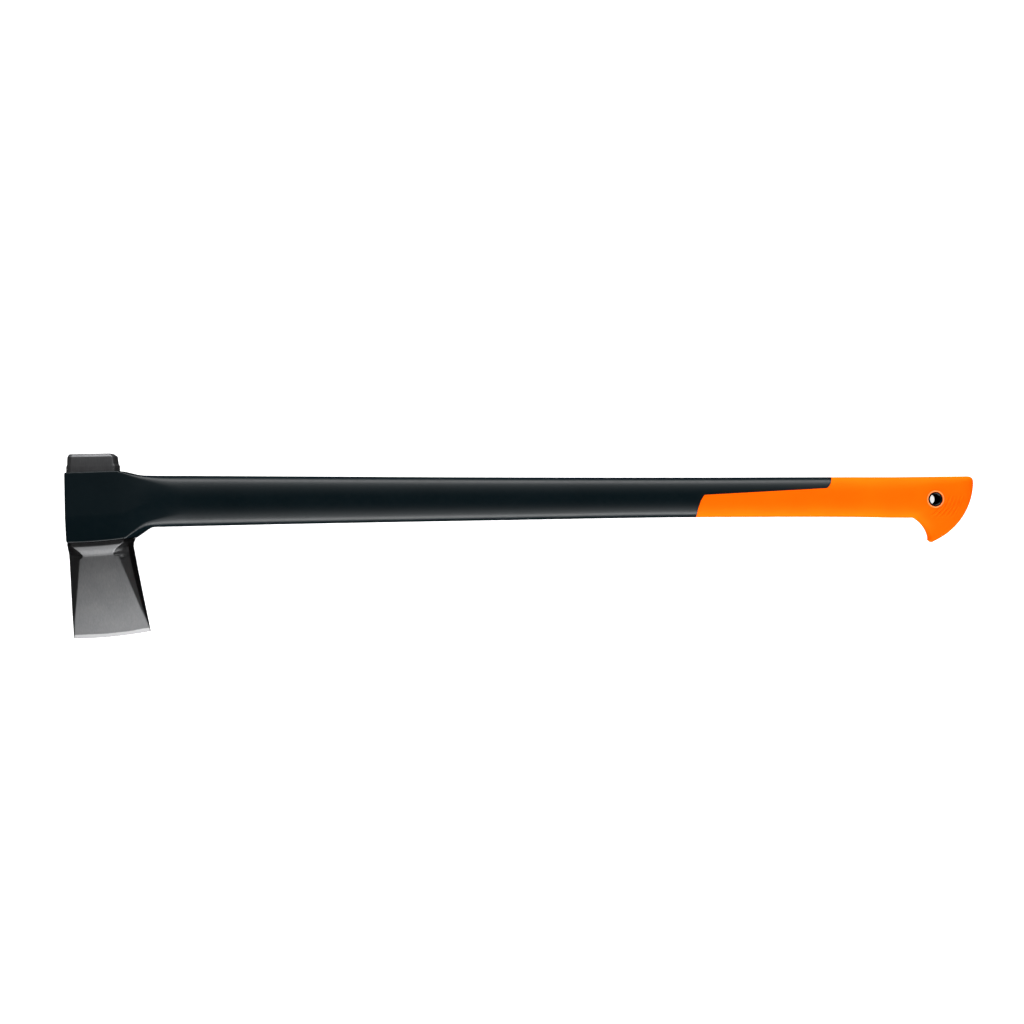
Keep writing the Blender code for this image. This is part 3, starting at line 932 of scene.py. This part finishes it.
class Nodes:
    """A material's nodes, added from left to right."""

    def __init__(self, name):
        self.material = bpy.data.materials.new(name)
        self.material.use_nodes = True
        self.tree = self.material.node_tree
        self.shader = self.tree.nodes["Principled BSDF"]
        self.position = self.add("ShaderNodeTexCoord").outputs["Object"]

    def add(self, kind, inputs=(), **settings):
        node = self.tree.nodes.new(kind)
        for key, value in settings.items():
            setattr(node, key, value)
        for key, value in dict(inputs).items():
            self.feed(node.inputs[key], value)
        return node

    def feed(self, socket, value):
        if isinstance(value, bpy.types.NodeSocket):
            self.tree.links.new(value, socket)
        else:
            socket.default_value = value

    def math(self, operation, a, b=0.0):
        node = self.add("ShaderNodeMath", operation=operation)
        self.feed(node.inputs[0], a)
        self.feed(node.inputs[1], b)
        return node.outputs[0]

    def scaled(self, factors):
        """The object position with each axis multiplied, so that grain can be stretched."""
        inputs = {"Vector": self.position, "Scale": factors}
        return self.add("ShaderNodeMapping", inputs).outputs[0]

    def noise(self, size, detail, vector=None):
        inputs = {
            "Vector": vector or self.position,
            "Scale": 1 / size,
            "Detail": detail,
            "Roughness": 0.5,
        }
        return self.add("ShaderNodeTexNoise", inputs).outputs["Fac"]

    def spread(self, value, low, high, start=0.3, end=0.7):
        """A value between start and end, stretched to run from low to high."""
        inputs = {
            "Value": value,
            "From Min": start,
            "From Max": end,
            "To Min": low,
            "To Max": high,
        }
        return self.add("ShaderNodeMapRange", inputs).outputs[0]

    def mix(self, share, a, b, blend_type="MIX"):
        """A colour between a and b, or another blend of them."""
        node = self.add("ShaderNodeMix", data_type="RGBA", blend_type=blend_type)
        self.feed(node.inputs[0], share)
        self.feed(node.inputs[6], (*a, 1.0) if isinstance(a, tuple) else a)
        self.feed(node.inputs[7], (*b, 1.0) if isinstance(b, tuple) else b)
        return node.outputs[2]

    def mix_values(self, share, a, b):
        return self.add("ShaderNodeMix", {0: share, 2: a, 3: b}).outputs[0]

    def bump(self, height, strength, distance, under=None):
        inputs = {"Strength": strength, "Distance": distance, "Height": height}
        if under:
            inputs["Normal"] = under
        return self.add("ShaderNodeBump", inputs).outputs[0]

    def set(self, **sockets):
        names = {
            "colour": "Base Color",
            "metallic": "Metallic",
            "roughness": "Roughness",
            "specular": "Specular IOR Level",
            "normal": "Normal",
        }
        for key, value in sockets.items():
            self.feed(self.shader.inputs[names[key]], value)
        return self.material


def black_nylon():
    """Glass-filled nylon from a finely spark-eroded mould."""
    nodes = Nodes("black_nylon")
    cloud = nodes.spread(nodes.noise(0.045, 3), 0, 1)
    colour = nodes.mix(cloud, *NYLON_COLOURS)
    rough = nodes.spread(nodes.noise(0.006, 4), *NYLON_ROUGHNESS)
    normal = nodes.bump(nodes.noise(0.00045, 2), 0.10, 0.00004)
    return nodes.set(colour=colour, roughness=rough, specular=0.165, normal=normal)


def orange_grip():
    """Soft overmoulding with a fine matt grain, and a paler highlight painted on the bead's
    crest.
    """
    nodes = Nodes("orange_grip")
    cloud = nodes.spread(nodes.noise(0.030, 4), 0, 1)
    colour = nodes.mix(cloud, *ORANGE_COLOURS)
    axes = nodes.add("ShaderNodeSeparateXYZ", {"Vector": nodes.position}).outputs
    flat = nodes.add("ShaderNodeCombineXYZ", {"X": axes["X"], "Y": axes["Y"]}).outputs[0]
    hole = place(*HANG_HOLE, -MIDDLE)
    reach = nodes.add("ShaderNodeVectorMath", {0: flat, 1: hole}, operation="DISTANCE")
    off_bead = nodes.math("ABSOLUTE", nodes.math("SUBTRACT", reach.outputs["Value"], BEAD_RADIUS))
    # Painted highlight: the colour along the bead's crest is mixed towards a pale peach
    painted_highlight = nodes.spread(off_bead, BEAD_HIGHLIGHT_SHARE, 0, BEAD_HIGHLIGHT_CREST, BEAD_HALF_WIDTH)
    colour = nodes.mix(painted_highlight, colour, BEAD_HIGHLIGHT_COLOUR)
    rough = nodes.spread(nodes.noise(0.004, 3), *ORANGE_ROUGHNESS)
    normal = nodes.bump(nodes.noise(0.0005, 3), 0.15, 0.00006)
    return nodes.set(colour=colour, roughness=rough, specular=0.02, normal=normal)


def forged_steel():
    """Dark forged steel, with satin ground cheeks, a bright honed cutting edge and painted shade
    under the collar's lip.
    """
    nodes = Nodes("forged_steel")
    axes = nodes.add("ShaderNodeSeparateXYZ", {"Vector": nodes.position}).outputs
    along = nodes.math("SUBTRACT", axes["X"], CAD_LOW.x)
    arc_rise = nodes.math("DIVIDE", nodes.math("MULTIPLY", along, along), 2 * EDGE_RADIUS)
    up = nodes.math("SUBTRACT", axes["Y"], CAD_HIGH.y - HEIGHT)
    level = nodes.math("SUBTRACT", up, arc_rise)
    wander = nodes.spread(nodes.noise(0.012, 3), -GRIND_WANDER, GRIND_WANDER)
    level = nodes.math("ADD", level, wander)
    honed = nodes.spread(level, 1, 0, *HONED_LEVELS)
    # Painted shade: the band just under the collar's lip is made darker
    shoulder_shade = nodes.spread(level, 0, 1, *SHOULDER_SHADE_LEVELS)
    scaly = nodes.spread(up, 0, 1, COLLAR_TOP - SCALE_FADE, COLLAR_TOP)
    streaks = nodes.noise(0.0010, 3, nodes.scaled((1.0, 0.06, 1.0)))
    blotches = nodes.spread(nodes.noise(0.020, 4), 0, 1)
    ground = nodes.mix(nodes.spread(streaks, 0, 1), *GROUND_COLOURS)
    shade = nodes.mix(blotches, BLOTCH_SHADE, (1.0, 1.0, 1.0))
    ground = nodes.mix(1.0, ground, shade, "MULTIPLY")
    # The painted shade darkens the steel's colour on the shoulder band under the collar
    ground = nodes.mix(shoulder_shade, ground, SHOULDER_PAINTED_SHADE, "MULTIPLY")
    colour = nodes.mix(honed, ground, HONED_COLOUR)
    rough_ground = nodes.spread(streaks, *GROUND_ROUGHNESS)
    rough_blade = nodes.mix_values(honed, rough_ground, HONED_ROUGHNESS)
    rough_scale = nodes.spread(nodes.noise(0.003, 3), *SCALE_ROUGHNESS)
    rough = nodes.mix_values(scaly, rough_blade, rough_scale)
    metallic = nodes.spread(scaly, 1.0, SCALE_METALLIC, 0, 1)
    grain = nodes.bump(streaks, 0.08, 0.00003)
    scale = nodes.bump(nodes.noise(0.0016, 3), 0.06, 0.00005, grain)
    return nodes.set(colour=colour, metallic=metallic, roughness=rough, normal=scale)


def plug_nylon():
    """The hidden plug's plain moulding."""
    nodes = Nodes("plug_nylon")
    cloud = nodes.spread(nodes.noise(0.002, 3), 0, 1)
    colour = nodes.mix(cloud, *PLUG_COLOURS)
    rough = nodes.spread(nodes.noise(0.0008, 2), *PLUG_ROUGHNESS)
    normal = nodes.bump(nodes.noise(0.0003, 2), 0.10, 0.00003)
    return nodes.set(colour=colour, roughness=rough, normal=normal)


def dress(piece, material):
    piece.data.materials.clear()
    piece.data.materials.append(material)


# Stage

CAMERA_ALONG = 0.4494
CAMERA_UP = 0.1284
CAMERA_HEIGHT = 1.800
VIEW_WIDTH = 1.0376
SENSOR = 36.0

# Light panels along the handle: side, first and last degrees off the zenith, radiance
PANELS = (
    (-1, 12, 24, 0.30),
    (-1, 24, 36, 0.95),
    (-1, 36, 52, 2.80),
    (-1, 52, 70, 4.20),
    (-1, 70, 94, 15.0),
    (1, 14, 30, 0.45),
    (1, 30, 48, 1.25),
    (1, 48, 68, 3.00),
    (1, 68, 94, 11.0),
)
# Weak panels past the head and past the butt, in the same terms
END_PANELS = (
    (-1, 50, 92, 0.13),
    (1, 50, 92, 0.30),
)
# Panels that soften the shading and aren't mirrored in glossy surfaces
BACK_FILL = (1, 66, 94, 4.0)
BUTT_FILL = (1, 56, 92, 1.6)
PANEL_CENTRE = (0.45, 0.13)
PANEL_RADIUS = 1.6
PANEL_LENGTH = 1.9
END_PANEL_LENGTH = 1.0

FLOOR_DROP = 0.013
FLOOR_GAP = 0.0005
FLOOR_SIZE = 30.0
FLOOR_GLOW = 0.8


def make_camera():
    data = bpy.data.cameras.new("camera")
    data.sensor_width = SENSOR
    data.lens = SENSOR * CAMERA_HEIGHT / VIEW_WIDTH
    data.clip_start = 0.1
    data.clip_end = 20.0
    camera = bpy.data.objects.new("camera", data)
    camera.location = place(CAMERA_ALONG, CAMERA_UP, CAMERA_HEIGHT)
    bpy.context.collection.objects.link(camera)
    bpy.context.scene.camera = camera


def make_panel(axis, length, panel, glossy=True):
    """A light panel on one side of the maul, between two angles off the zenith."""
    side, first, last, radiance = panel
    middle = math.radians((first + last) / 2)
    width = PANEL_RADIUS * math.radians(last - first)
    data = bpy.data.lights.new("panel", "AREA")
    data.shape = "RECTANGLE"
    data.size = length
    data.size_y = width
    data.energy = radiance * math.pi * length * width
    light = bpy.data.objects.new("panel", data)
    outward = axis * side * math.sin(middle) + Vector((0, 0, math.cos(middle)))
    light.location = place(*PANEL_CENTRE) + outward * PANEL_RADIUS
    light.rotation_mode = "QUATERNION"
    light.rotation_quaternion = outward.to_track_quat("Z", "Y")
    light.visible_camera = False
    light.visible_glossy = glossy
    bpy.context.collection.objects.link(light)


def make_lights():
    across = Vector((0, 1, 0))
    onward = Vector((1, 0, 0))
    for panel in PANELS:
        make_panel(across, PANEL_LENGTH, panel)
    make_panel(across, PANEL_LENGTH, BACK_FILL, glossy=False)
    make_panel(onward, END_PANEL_LENGTH, BUTT_FILL, glossy=False)
    for panel in END_PANELS:
        make_panel(onward, END_PANEL_LENGTH, panel)


def make_floor():
    """A pale floor, level with the collar's lower cheek and with the butt."""
    bm = bmesh.new()
    half = FLOOR_SIZE / 2
    slope = FLOOR_DROP / (CAD_HIGH.x - CAD_LOW.x)
    corners = []
    for x, y in ((-half, -half), (half, -half), (half, half), (-half, half)):
        corners.append(bm.verts.new((x, y, (x - CAD_LOW.x) * slope - FLOOR_GAP)))
    bm.faces.new(corners)
    floor = new_object("floor", bm)
    nodes = Nodes("pale_floor")
    cloud = nodes.spread(nodes.noise(0.8, 2), 0, 1)
    colour = nodes.mix(cloud, *FLOOR_COLOURS)
    nodes.set(colour=colour, roughness=0.8, specular=0.0)
    nodes.shader.inputs["Emission Color"].default_value = (1, 1, 1, 1)
    nodes.shader.inputs["Emission Strength"].default_value = FLOOR_GLOW
    dress(floor, nodes.material)
    floor.visible_glossy = False
    floor.visible_diffuse = False


def make_world():
    world = bpy.data.worlds.new("pale surroundings")
    world.use_nodes = True
    background = world.node_tree.nodes["Background"]
    background.inputs["Color"].default_value = (1, 1, 1, 1)
    background.inputs["Strength"].default_value = 1.0
    world.cycles_visibility.diffuse = False
    world.cycles_visibility.glossy = False
    world.cycles_visibility.transmission = False
    world.cycles_visibility.scatter = False
    bpy.context.scene.world = world


def main():
    pieces = (
        (make_head(), "maul_head", "forged_steel", forged_steel()),
        (make_shaft(), "handle_shaft", "black_nylon", black_nylon()),
        (make_grip(), "soft_grip", "orange_grip", orange_grip()),
    )
    for piece, node, slot, material in pieces:
        dress(piece, material)
        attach(piece, "root")
        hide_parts(node)
    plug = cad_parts["core_plug"]
    for socket in plug.material_slots:
        socket.material = plug_nylon()
    make_camera()
    make_lights()
    make_floor()
    make_world()
    settings = bpy.context.scene.view_settings
    settings.view_transform = "Standard"
    settings.look = "None"


main()
